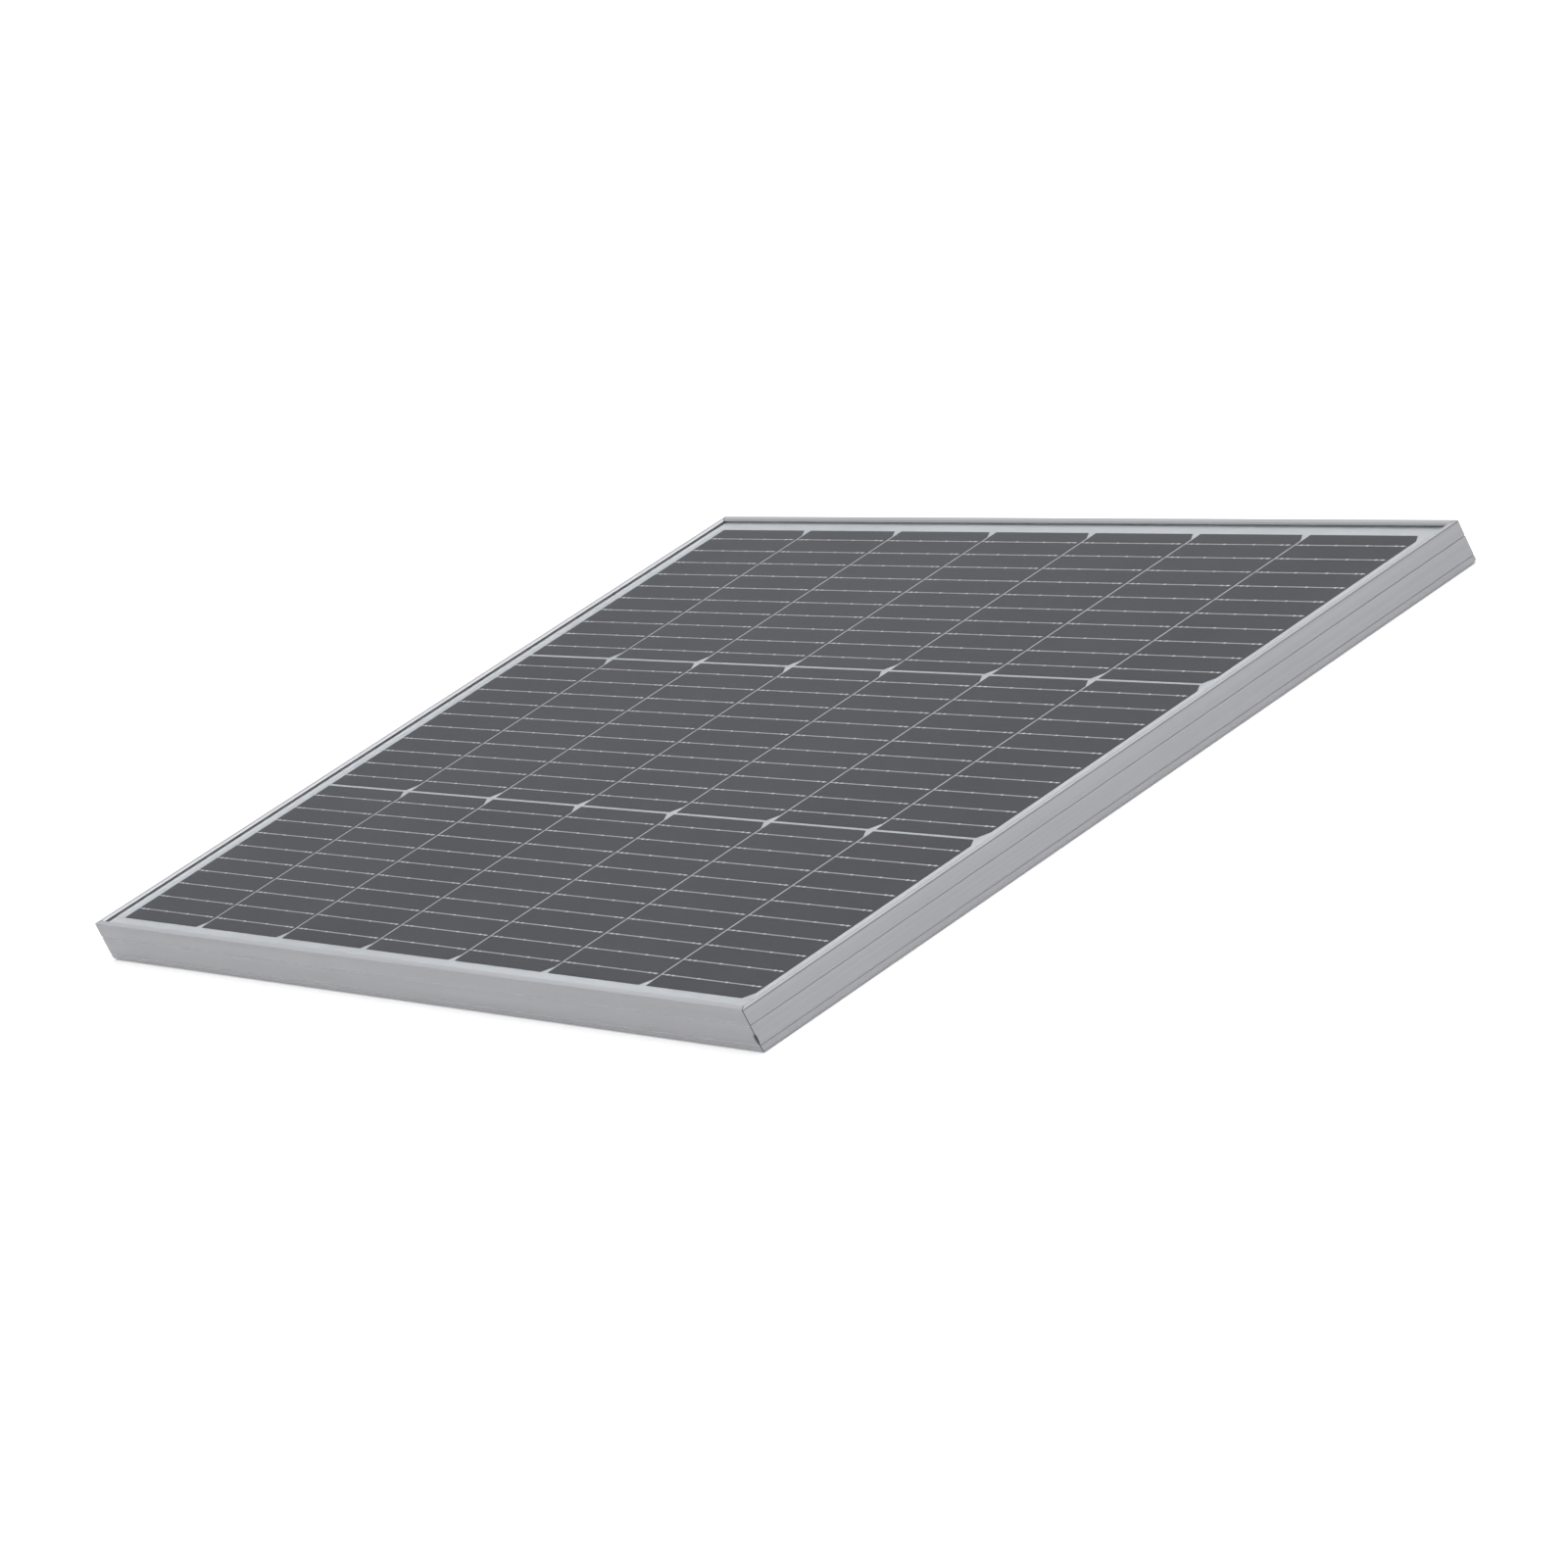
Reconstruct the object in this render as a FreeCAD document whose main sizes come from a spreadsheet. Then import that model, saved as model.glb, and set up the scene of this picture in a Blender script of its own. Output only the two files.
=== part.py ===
import FreeCAD, Part
import math
import os

import Sketcher

# A framed glass solar panel lying face up. X runs along its long side, Y along its short side, +Z up.
# The origin is the centre of the panel at the frame's lowest face. Millimetres.

doc = FreeCAD.newDocument("SolarPanel")
sheet = doc.addObject("Spreadsheet::Sheet", "Sizes")


# ---------------------------------------------------------------- sizes

class Dim:
    """A length that carries its number and the sheet expression that gives it."""

    def __init__(self, value, text):
        self.value = float(value)
        self.text = text

    def __add__(self, other):
        return Dim(self.value + number(other), f"({self.text} + {words(other)})")

    def __radd__(self, other):
        return Dim(number(other) + self.value, f"({words(other)} + {self.text})")

    def __sub__(self, other):
        return Dim(self.value - number(other), f"({self.text} - {words(other)})")

    def __rsub__(self, other):
        return Dim(number(other) - self.value, f"({words(other)} - {self.text})")

    def __mul__(self, factor):
        return Dim(self.value * number(factor), f"({self.text} * {words(factor)})")

    def __rmul__(self, factor):
        return self * factor

    def __truediv__(self, factor):
        return Dim(self.value / number(factor), f"({self.text} / {words(factor)})")

    def __neg__(self):
        return Dim(-self.value, f"(0 - {self.text})")


def number(item):
    return item.value if isinstance(item, Dim) else float(item)


def words(item):
    return item.text if isinstance(item, Dim) else f"({float(item)!r})"


sheet_row = 0


def size(alias, value, meaning):
    """Writes one driving size to the sheet and returns it."""
    global sheet_row
    sheet_row += 1
    sheet.set(f"A{sheet_row}", meaning)
    sheet.set(f"B{sheet_row}", str(value))
    sheet.setAlias(f"B{sheet_row}", alias)
    return Dim(value, f"Sizes.{alias}")


# Whole panel
panel_length = size("panel_length", 940, "outside length of the frame")
panel_width = size("panel_width", 580, "outside width of the frame")
frame_height = size("frame_height", 30, "height of the frame rails")

# Frame extrusion
rail_wall = size("rail_wall", 1.5, "wall of the rail extrusion")
flange_depth = size("flange_depth", 25, "reach of the bottom flange from the outer face")
lip_width = size("lip_width", 5.3, "width of the top lip over the glass")
lip_thickness = size("lip_thickness", 1.6, "thickness of the top lip")
lip_bevel = size("lip_bevel", 1.1, "bevel along the lip's inner top edge")
ledge_depth = size("ledge_depth", 9.5, "reach of the ledge under the laminate")
chamber_height = size("chamber_height", 13.4, "outside height of the hollow chamber")
rail_bottom_radius = size("rail_bottom_radius", 2.8, "outer bottom edge radius")
rail_top_radius = size("rail_top_radius", 0.5, "outer top edge radius")
groove_width = size("groove_width", 0.9, "width of the two decorative grooves")
groove_depth = size("groove_depth", 0.4, "depth of the decorative grooves")
groove_low = size("groove_low", 5, "height of the lower groove")
groove_drop = size("groove_drop", 11.2, "upper groove below the top of the frame")
mitre_setback = size("mitre_setback", 0.3, "gap of each rail end from the mitre plane")

# Holes in the flanges
hole_inset = size("hole_inset", 16, "centre line of the flange holes from the outer face")
slot_end = size("slot_end", 220, "mounting slot's centre from the end of a long rail")
slot_length = size("slot_length", 14, "end to end length of a mounting slot")
slot_radius = size("slot_radius", 4.5, "half width of a mounting slot")
earth_end = size("earth_end", 120, "earthing hole from the end of a long rail")
earth_radius = size("earth_radius", 2.1, "radius of an earthing hole")
drain_end = size("drain_end", 70, "drain hole from the end of a short rail")
drain_radius = size("drain_radius", 2.5, "radius of a drain hole")

# Corner keys
key_leg = size("key_leg", 38, "length of a corner key's leg")
key_clearance = size("key_clearance", 0.1, "gap between a corner key and its chamber")
key_bevel = size("key_bevel", 2, "bevel at the ends of a corner key")

# Laminate
glass_inset = size("glass_inset", 2.5, "glass edge from the frame's outer face")
glass_thickness = size("glass_thickness", 3.2, "tempered glass")
front_clearance = size("front_clearance", 0.15, "encapsulant between the cover films and the glass")
rear_clearance = size("rear_clearance", 0.1, "encapsulant between the ribbons and the strips behind them")
backsheet_thickness = size("backsheet_thickness", 0.35, "white backsheet")
seal_top = size("seal_top", 0.6, "sealant between the lip and the glass")
seal_bottom = size("seal_bottom", 0.4, "sealant between the backsheet and the ledge")
seal_recess = size("seal_recess", 0.5, "how far the sealant stops short of the lip and ledge")

# Cells
COLUMNS = 7
ROWS = ("front", "middle", "back")
end_margin = size("end_margin", 19.5, "end cells from the frame's outer face, along the long side")
side_margin = size("side_margin", 15, "outer cells from the frame's outer face, along the short side")
cell_gap = size("cell_gap", 2, "gap between cells")
cell_thickness = size("cell_thickness", 0.2, "cell thickness")
cell_chamfer = size("cell_chamfer", 7.2, "leg of the cell's two cut corners")

# Ribbons and bus strips
RIBBONS = 10
ribbon_edge = size("ribbon_edge", 13.15, "outer ribbons from the cell's edge")
ribbon_width = size("ribbon_width", 0.8, "width of a ribbon")
ribbon_thickness = size("ribbon_thickness", 0.2, "thickness of a ribbon")
ribbon_end = size("ribbon_end", 3.5, "how far a ribbon stops short of the cell's edge")
bus_offset = size("bus_offset", 3, "gap from the end cell to its bus strip")
bus_width = size("bus_width", 5, "width of a bus strip")
bus_overhang = size("bus_overhang", 7, "bus strip beyond its last ribbon")
foil_thickness = size("foil_thickness", 0.2, "thickness of the foils behind the cells")
foil_width = size("foil_width", 6, "width of the foils behind the cells")
foil_inset = size("foil_inset", 4, "foil centre line inside the row's edge")
foil_tab = size("foil_tab", 4, "length of the folded tab that meets a bus strip")
around_offset = size("around_offset", 2.5, "gap from the right bus strips to the foil around them")
cover_thickness = size("cover_thickness", 0.1, "white film that hides the bus strips")
cover_gap = size("cover_gap", 0.2, "gap from the end cells to the cover film")
cover_edge = size("cover_edge", 1, "cover film from the laminate's edge")
strip_thickness = size("strip_thickness", 0.1, "white insulating strip between foils and cells")
strip_margin = size("strip_margin", 2, "insulating strip beyond each side of its foil")

# Junction box on the backsheet
box_offset = size("box_offset", 130, "box centre from the frame's left face")
box_length = size("box_length", 100, "box size along X")
box_width = size("box_width", 86, "box size along Y")
rim_height = size("rim_height", 5.8, "rim of the box above the frame's lowest face")
box_wall = size("box_wall", 3, "side walls of the box")
box_roof = size("box_roof", 2.4, "wall against the panel")
box_corner = size("box_corner", 4, "corner radius of the box and lid")
pad_inset = size("pad_inset", 4, "adhesive edge inside the box edge")
pad_thickness = size("pad_thickness", 1.2, "silicone adhesive under the box")
lid_thickness = size("lid_thickness", 2.5, "lid plate")
lid_gap = size("lid_gap", 0.2, "gap between the rim and the lid")
lid_recess = size("lid_recess", 0.6, "depth of the shallow panel in the lid")
lid_border = size("lid_border", 9, "border round the shallow panel")
gasket_width = size("gasket_width", 1.4, "gasket groove width")
gasket_depth = size("gasket_depth", 1.2, "gasket groove depth")
tab_width = size("tab_width", 16, "width of the lid's finger tab")
tab_thickness = size("tab_thickness", 1.8, "thickness of the finger tab")
tab_height = size("tab_height", 7, "how far the finger tab reaches up the wall")
tab_gap = size("tab_gap", 0.4, "gap between the tab and the wall")

# Lid hinge
hinge_offset = size("hinge_offset", 4.2, "hinge axis from the box's outer face")
knuckle_radius = size("knuckle_radius", 3.4, "outer radius of the hinge knuckles")
hinge_pin_radius = size("hinge_pin_radius", 1.5, "hinge pin")
hinge_clearance = size("hinge_clearance", 0.05, "running clearance of the lid on its pin")
hinge_span = size("hinge_span", 50, "total length of the hinge")
knuckle_length = size("knuckle_length", 30, "length of the lid's knuckle")
knuckle_gap = size("knuckle_gap", 0.3, "gap at each side of the lid's knuckle")
gusset_height = size("gusset_height", 9, "height of the base lugs' gussets")

# Cable entries. The sizes marked "drawn" belong to a box of fitting_height and follow the box's real height.
fitting_height = size("fitting_height", 16, "box height that the fittings are drawn for")
gland_spacing = size("gland_spacing", 44, "spacing of the two cable entries")
drawn_gland_height = size("drawn_gland_height", 7.6, "cable axis above the box rim")
drawn_spout_radius = size("drawn_spout_radius", 5.5, "outer radius of a spout")
drawn_spout_bore = size("drawn_spout_bore", 4, "inner radius of a spout")
spout_length = size("spout_length", 12, "how far a spout stands out of the wall")
drawn_seal_bore = size("drawn_seal_bore", 3, "cable hole in the rubber seal")
seal_length = size("seal_length", 10, "length of the rubber seal")
drawn_nut_flats = size("drawn_nut_flats", 15, "gland nut across flats")
nut_start = size("nut_start", 2.5, "gap from the wall to the gland nut")
nut_wall = size("nut_wall", 1.5, "end wall of the gland nut")
drawn_nut_hole = size("drawn_nut_hole", 3.2, "hole in the gland nut's end wall")
nut_clearance = size("nut_clearance", 0.05, "gap between a gland nut and its spout")

# Terminals and diode
terminal_x = size("terminal_x", 1, "terminal block centre from the box centre")
terminal_length = size("terminal_length", 14, "terminal block along X")
terminal_width = size("terminal_width", 10, "terminal block along Y")
drawn_head_room = size("drawn_head_room", 1.6, "gap from the box rim to a terminal screw's head")
drawn_wire_radius = size("drawn_wire_radius", 2.2, "wire hole in a terminal")
wire_depth = size("wire_depth", 10, "depth of the wire hole")
tongue_length = size("tongue_length", 14, "solder tongue length")
tongue_width = size("tongue_width", 8, "solder tongue width")
tongue_thickness = size("tongue_thickness", 1, "solder tongue thickness")
solder_length = size("solder_length", 8, "how far a lead foil lies along its tongue")
screw_radius = size("screw_radius", 1.5, "terminal screw")
screw_head_radius = size("screw_head_radius", 3, "terminal screw head")
drawn_head_height = size("drawn_head_height", 2, "terminal screw head height")
driver_width = size("driver_width", 0.8, "driver slot in the screw head")
drawn_driver_depth = size("drawn_driver_depth", 0.9, "depth of the driver slot")
drawn_diode_radius = size("drawn_diode_radius", 4, "bypass diode body")
diode_length = size("diode_length", 9, "length of the diode body")
diode_gap = size("diode_gap", 0.6, "gap from the diode to the box's inner roof")
diode_shift = size("diode_shift", 4, "diode axis from the terminal centre, away from the cables")
lead_radius = size("lead_radius", 0.6, "diode lead")
lead_grip = size("lead_grip", 3, "how far a diode lead enters its terminal")
slit_length = size("slit_length", 3, "foil slit along X")
slit_width = size("slit_width", 8, "foil slit along Y")
slit_gap = size("slit_gap", 2, "gap from the tongue's tip to the slit")

doc.recompute()

CUT_MARGIN = 5.0  # how far cutting tools run past what they cut
SAME_PLACE = 1e-4  # two places closer than this are the same
LEAST_CUT = 1e-6  # volume that a pocket has to remove
STRAIGHT = 0.999  # cosine above which an edge runs along a direction


# ---------------------------------------------------------------- places worked out from the sizes

lip_under = frame_height - lip_thickness
glass_top = lip_under - seal_top
glass_bottom = glass_top - glass_thickness
front_film = ribbon_thickness + cover_thickness + front_clearance
cell_top = glass_bottom - front_film
cell_bottom = cell_top - cell_thickness
rear_film = ribbon_thickness + rear_clearance + strip_thickness + foil_thickness
film_bottom = cell_bottom - rear_film
panel_back = film_bottom - backsheet_thickness
ledge_top = panel_back - seal_bottom
chamber_bottom = ledge_top - chamber_height
groove_high = frame_height - groove_drop

laminate_length = panel_length - 2 * glass_inset
laminate_width = panel_width - 2 * glass_inset

cell_length = (panel_length - 2 * end_margin - (COLUMNS - 1) * cell_gap) / COLUMNS
cell_width = (panel_width - 2 * side_margin - (len(ROWS) - 1) * cell_gap) / len(ROWS)
ribbon_pitch = (cell_width - 2 * ribbon_edge) / (RIBBONS - 1)
column_pitch = cell_length + cell_gap
row_pitch = cell_width + cell_gap
grid_right = (COLUMNS * cell_length + (COLUMNS - 1) * cell_gap) / 2
bus_inner = grid_right + bus_offset
bus_outer = bus_inner + bus_width
bus_half = ribbon_pitch * (RIBBONS - 1) / 2 + bus_overhang
around_inner = bus_outer + around_offset
around_outer = around_inner + bus_width
foil_top = film_bottom + foil_thickness

box_x = box_offset - panel_length / 2
box_top = panel_back - pad_thickness
rim = rim_height
box_height = box_top - rim
wall_out = box_length / 2
cavity_top = box_height - box_roof
fitting = box_height / fitting_height
gland_height = drawn_gland_height * fitting
spout_radius = drawn_spout_radius * fitting
spout_bore = drawn_spout_bore * fitting
seal_bore = drawn_seal_bore * fitting
nut_flats = drawn_nut_flats * fitting
nut_hole = drawn_nut_hole * fitting
wire_radius = drawn_wire_radius * fitting
driver_depth = drawn_driver_depth * fitting
screw_head_height = drawn_head_height * fitting
terminal_height = cavity_top - screw_head_height - drawn_head_room * fitting
diode_radius = drawn_diode_radius * fitting
diode_height = cavity_top - diode_radius - diode_gap
hinge_x = -(wall_out + hinge_offset)
hinge_z = -lid_gap
tongue_tip = terminal_x - terminal_length / 2 - tongue_length
slit_x = tongue_tip - slit_gap - slit_length / 2
turn_x = box_x + slit_x - foil_width
diode_x = box_x + terminal_x - diode_shift
link_line = row_pitch / 2 - cell_gap / 2 - foil_inset


# ---------------------------------------------------------------- building helpers

def vector(x, y, z=0):
    return FreeCAD.Vector(number(x), number(y), number(z))


def bind(thing, prop, dim):
    thing.setExpression(prop, words(dim))


def place(thing, x=0, y=0, z=0, turn=0, axis=(0, 0, 1)):
    """Moves a sub-part to a place held by the sheet, turned by a fixed angle."""
    thing.Placement = FreeCAD.Placement(vector(x, y, z), FreeCAD.Rotation(FreeCAD.Vector(*axis), turn))
    bind(thing, "Placement.Base.x", x)
    bind(thing, "Placement.Base.y", y)
    bind(thing, "Placement.Base.z", z)
    return thing


class Drawing:
    """Gathers the outlines of one sketch, with every corner held by the sheet."""

    def __init__(self, sketch):
        self.sketch = sketch
        self.geometry = []
        self.rules = []
        self.drivers = []

    def hold(self, kind, where, dim):
        self.drivers.append((len(self.rules), words(dim)))
        self.rules.append(Sketcher.Constraint(kind, *where, number(dim)))

    def hold_point(self, index, point, x, y):
        self.hold("DistanceX", (-1, 1, index, point), x)
        self.hold("DistanceY", (-1, 1, index, point), y)

    def polygon(self, corners):
        first = len(self.geometry)
        count = len(corners)
        for k, corner in enumerate(corners):
            following = (k + 1) % count
            self.geometry.append(Part.LineSegment(vector(*corner), vector(*corners[following])))
            self.rules.append(Sketcher.Constraint("Coincident", first + k, 2, first + following, 1))
        for k, corner in enumerate(corners):
            self.hold_point(first + k, 1, *corner)

    def rectangle(self, x0, y0, x1, y1):
        self.polygon([(x0, y0), (x1, y0), (x1, y1), (x0, y1)])

    def circle(self, x, y, radius):
        index = len(self.geometry)
        self.geometry.append(Part.Circle(vector(x, y), FreeCAD.Vector(0, 0, 1), number(radius)))
        self.hold_point(index, 3, x, y)
        self.hold("Radius", (index,), radius)

    def slot(self, x, y, length, radius):
        """A slot along the sketch's X axis, centred on x, y."""
        first = len(self.geometry)
        reach = length / 2 - radius
        left, right = x - reach, x + reach
        up = FreeCAD.Vector(0, 0, 1)
        quarter = math.pi / 2
        self.geometry += [
            Part.ArcOfCircle(Part.Circle(vector(left, y), up, number(radius)), quarter, 3 * quarter),
            Part.ArcOfCircle(Part.Circle(vector(right, y), up, number(radius)), -quarter, quarter),
            Part.LineSegment(vector(left, y - radius), vector(right, y - radius)),
            Part.LineSegment(vector(right, y + radius), vector(left, y + radius)),
        ]
        joins = ((0, 2, 2, 1), (2, 2, 1, 1), (1, 2, 3, 1), (3, 2, 0, 1))
        for one, end, other, start in joins:
            self.rules.append(Sketcher.Constraint("Tangent", first + one, end, first + other, start))
        self.hold_point(first, 3, left, y)
        self.hold_point(first + 1, 3, right, y)
        self.hold("Radius", (first,), radius)

    def finish(self):
        self.sketch.addGeometry(self.geometry, False)
        self.sketch.addConstraint(self.rules)
        for index, expression in self.drivers:
            self.sketch.setExpression(f"Constraints[{index}]", expression)
        return self.sketch


def new_body(label):
    body = doc.addObject("PartDesign::Body", "Body")
    body.Label = label
    return body


def draw(body, role, offset=0):
    """Starts a sketch on one of the body's origin planes, raised from it by offset."""
    sketch = body.newObject("Sketcher::SketchObject", "Sketch")
    plane = [feature for feature in body.Origin.OriginFeatures if feature.Role == role][0]
    sketch.AttachmentSupport = [(plane, "")]
    sketch.MapMode = "FlatFace"
    bind(sketch, "AttachmentOffset.Base.z", offset)
    return Drawing(sketch)


def pad(body, drawing, length, symmetric=False):
    feature = body.newObject("PartDesign::Pad", "Pad")
    feature.Profile = drawing.finish()
    bind(feature, "Length", length)
    if symmetric:
        feature.SideType = "Symmetric"
    return feature


def pocket(body, drawing, length, symmetric=False):
    """Cuts along the sketch's normal and checks that something was removed."""
    doc.recompute()
    before = body.Shape.Volume
    feature = body.newObject("PartDesign::Pocket", "Pocket")
    feature.Profile = drawing.finish()
    bind(feature, "Length", length)
    if symmetric:
        feature.SideType = "Symmetric"
    else:
        feature.Reversed = True
    doc.recompute()
    if body.Shape.Volume >= before - LEAST_CUT:
        raise RuntimeError(f"a pocket in {body.Label} cut nothing")
    return feature


def fillet(body, base, radius, direction, chosen):
    """Rounds the edges of base that run along a direction and whose middle passes the test."""
    doc.recompute()
    names = []
    for k, edge in enumerate(base.Shape.Edges):
        run = edge.Vertexes[-1].Point - edge.Vertexes[0].Point
        along = run.Length > 0 and abs(run.dot(direction)) > run.Length * STRAIGHT
        if along and chosen(edge.CenterOfMass):
            names.append(f"Edge{k + 1}")
    feature = body.newObject("PartDesign::Fillet", "Fillet")
    feature.Base = (base, names)
    bind(feature, "Radius", radius)
    return feature


def near(value, dim):
    return abs(value - number(dim)) < SAME_PLACE


def box(x0, y0, z0, x1, y1, z1):
    """A Part box between two opposite corners, low then high."""
    solid = doc.addObject("Part::Box", "Box")
    bind(solid, "Length", x1 - x0)
    bind(solid, "Width", y1 - y0)
    bind(solid, "Height", z1 - z0)
    return place(solid, x0, y0, z0)


def rod(radius, length, x, y, z, turn=0, axis=(0, 0, 1)):
    """A Part cylinder that starts at x, y, z and runs along +Z, or as turned."""
    solid = doc.addObject("Part::Cylinder", "Cylinder")
    bind(solid, "Radius", radius)
    bind(solid, "Height", length)
    return place(solid, x, y, z, turn, axis)


ALONG_X = (90, (0, 1, 0))  # turns a rod from +Z to +X
ALONG_Y = (-90, (1, 0, 0))  # turns a rod from +Z to +Y


def together(things):
    """Separate tools or solids as one compound."""
    group = doc.addObject("Part::Compound", "Group")
    group.Links = things
    return group


def joined(things):
    fused = doc.addObject("Part::MultiFuse", "Fuse")
    fused.Shapes = things
    fused.Refine = True
    return fused


def cut(base, tool):
    feature = doc.addObject("Part::Cut", "Cut")
    feature.Base = base
    feature.Tool = tool
    return feature


nodes = []


def node(thing, label):
    """Names a finished sub-part, which is then written to a file of that name."""
    thing.Label = label
    nodes.append(thing)
    return thing


# ---------------------------------------------------------------- frame

def rail_outline(drawing):
    """Cross-section of a rail: Y inward from the outer face, Z up."""
    half = groove_width / 2
    drawing.polygon([
        (0, 0),
        (flange_depth, 0),
        (flange_depth, rail_wall),
        (rail_wall, rail_wall),
        (rail_wall, chamber_bottom),
        (ledge_depth, chamber_bottom),
        (ledge_depth, ledge_top),
        (rail_wall, ledge_top),
        (rail_wall, lip_under),
        (lip_width, lip_under),
        (lip_width, frame_height - lip_bevel),
        (lip_width - lip_bevel, frame_height),
        (0, frame_height),
        (0, groove_high + half),
        (groove_depth, groove_high),
        (0, groove_high - half),
        (0, groove_low + half),
        (groove_depth, groove_low),
        (0, groove_low - half),
    ])
    drawing.rectangle(
        rail_wall, chamber_bottom + rail_wall, ledge_depth - rail_wall, ledge_top - rail_wall
    )


def rail(label, length, holes, x, y, turn):
    """One mitred length of the frame extrusion, along its own X with Y pointing into the panel."""
    body = new_body(label)
    profile = draw(body, "YZ_Plane")
    rail_outline(profile)
    bar = pad(body, profile, length, symmetric=True)
    along = FreeCAD.Vector(1, 0, 0)
    bottom = fillet(body, bar, rail_bottom_radius, along, lambda p: near(p.y, 0) and near(p.z, 0))
    fillet(body, bottom, rail_top_radius, along, lambda p: near(p.y, 0) and near(p.z, frame_height))
    mitres = draw(body, "XY_Plane")
    reach = flange_depth + CUT_MARGIN
    for side in (-1, 1):
        mitres.polygon([
            (side * (length / 2 - mitre_setback + CUT_MARGIN), -CUT_MARGIN),
            (side * (length / 2 - mitre_setback - reach), reach),
            (side * (length / 2 + CUT_MARGIN), reach),
            (side * (length / 2 + CUT_MARGIN), -CUT_MARGIN),
        ])
    pocket(body, mitres, 2 * frame_height + 2 * CUT_MARGIN, symmetric=True)
    flange_holes = draw(body, "XY_Plane")
    holes(flange_holes)
    pocket(body, flange_holes, rail_wall)
    place(body, x, y, 0, turn)
    return node(body, label)


def long_rail_holes(drawing):
    for side in (-1, 1):
        drawing.slot(side * (panel_length / 2 - slot_end), hole_inset, slot_length, slot_radius)
        drawing.circle(side * (panel_length / 2 - earth_end), hole_inset, earth_radius)


def short_rail_holes(drawing):
    for side in (-1, 1):
        drawing.circle(side * (panel_width / 2 - drain_end), hole_inset, drain_radius)


def corner_key(label, x, y, turn):
    """An L-shaped key that fills the chambers of two rails across their mitre."""
    body = new_body(label)
    outline = draw(body, "XY_Plane")
    outer = rail_wall + key_clearance
    inner = ledge_depth - rail_wall - key_clearance
    tip = outer + key_leg
    outline.polygon([
        (outer, outer),
        (tip - key_bevel, outer),
        (tip, outer + key_bevel),
        (tip, inner - key_bevel),
        (tip - key_bevel, inner),
        (inner, inner),
        (inner, tip - key_bevel),
        (inner - key_bevel, tip),
        (outer + key_bevel, tip),
        (outer, tip - key_bevel),
    ])
    pad(body, outline, chamber_height - 2 * rail_wall - 2 * key_clearance)
    place(body, x, y, chamber_bottom + rail_wall + key_clearance, turn)
    return node(body, label)


def frame():
    half_x = panel_length / 2
    half_y = panel_width / 2
    rail("frame_rail_front", panel_length, long_rail_holes, 0, -half_y, 0)
    rail("frame_rail_right", panel_width, short_rail_holes, half_x, 0, 90)
    rail("frame_rail_back", panel_length, long_rail_holes, 0, half_y, 180)
    rail("frame_rail_left", panel_width, short_rail_holes, -half_x, 0, 270)
    corner_key("corner_key_front_left", -half_x, -half_y, 0)
    corner_key("corner_key_front_right", half_x, -half_y, 90)
    corner_key("corner_key_back_right", half_x, half_y, 180)
    corner_key("corner_key_back_left", -half_x, half_y, 270)


# ---------------------------------------------------------------- cells and their wiring

def row_centre(row):
    return row_pitch * (ROWS.index(row) - (len(ROWS) - 1) / 2)


def cell_left(column):
    return column * column_pitch - grid_right


def solar_cell(row, column):
    """A cut mono cell: square corners on its left, the wafer's cut corners on its right."""
    body = new_body(f"solar_cell_{row}_{column + 1}")
    outline = draw(body, "XY_Plane")
    outline.polygon([
        (0, 0),
        (cell_length - cell_chamfer, 0),
        (cell_length, cell_chamfer),
        (cell_length, cell_width - cell_chamfer),
        (cell_length - cell_chamfer, cell_width),
        (0, cell_width),
    ])
    pad(body, outline, cell_thickness)
    place(body, cell_left(column), row_centre(row) - cell_width / 2, cell_bottom)
    return node(body, body.Label)


def ribbon_lines(row):
    """Y of each ribbon of a row."""
    return [row_centre(row) + ribbon_pitch * (k - (RIBBONS - 1) / 2) for k in range(RIBBONS)]


def ribbons(row):
    """The ribbons of one row: each runs over a cell, drops through the gap and runs under the next."""
    body = new_body(f"cell_ribbons_{row}")
    outline = draw(body, "XZ_Plane")
    over = cell_top + ribbon_thickness
    under = cell_bottom - ribbon_thickness
    outline.rectangle(-bus_outer, cell_top, cell_left(0) + cell_length - ribbon_end, over)
    for column in range(1, COLUMNS):
        here = cell_left(column)
        before = cell_left(column - 1)
        edge = before + cell_length
        outline.polygon([
            (here + cell_length - ribbon_end, cell_top),
            (here + cell_length - ribbon_end, over),
            (here, over),
            (edge, cell_bottom),
            (before + ribbon_end, cell_bottom),
            (before + ribbon_end, under),
            (edge, under),
            (here, cell_top),
        ])
    outline.rectangle(cell_left(COLUMNS - 1) + ribbon_end, under, bus_outer, cell_bottom)
    strip = pad(body, outline, ribbon_width, symmetric=True)
    lines = body.newObject("PartDesign::LinearPattern", "Ribbons")
    lines.Originals = [strip]
    lines.Direction = (outline.sketch, ["N_Axis"])
    lines.Mode = "Spacing"
    lines.Reversed = True
    bind(lines, "Offset", ribbon_pitch)
    lines.Occurrences = RIBBONS
    body.Tip = lines
    place(body, 0, row_centre(row) - ribbon_pitch * (RIBBONS - 1) / 2, 0)
    return node(body, body.Label)


def bus_strips(side):
    """The three end strips of one side, one for each row of cells."""
    strips = []
    for row in ROWS:
        low = row_centre(row) - bus_half
        high = row_centre(row) + bus_half
        x0, x1 = (-bus_outer, -bus_inner) if side == "left" else (bus_inner, bus_outer)
        strips.append(box(x0, low, cell_bottom, x1, high, cell_top))
    return node(together(strips), f"bus_strips_{side}")


def foil_leg(x0, y0, x1, y1):
    return box(x0, y0, film_bottom, x1, y1, foil_top)


def foil_riser(x0, y0, x1, y1):
    return box(x0, y0, film_bottom, x1, y1, cell_bottom)


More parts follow.
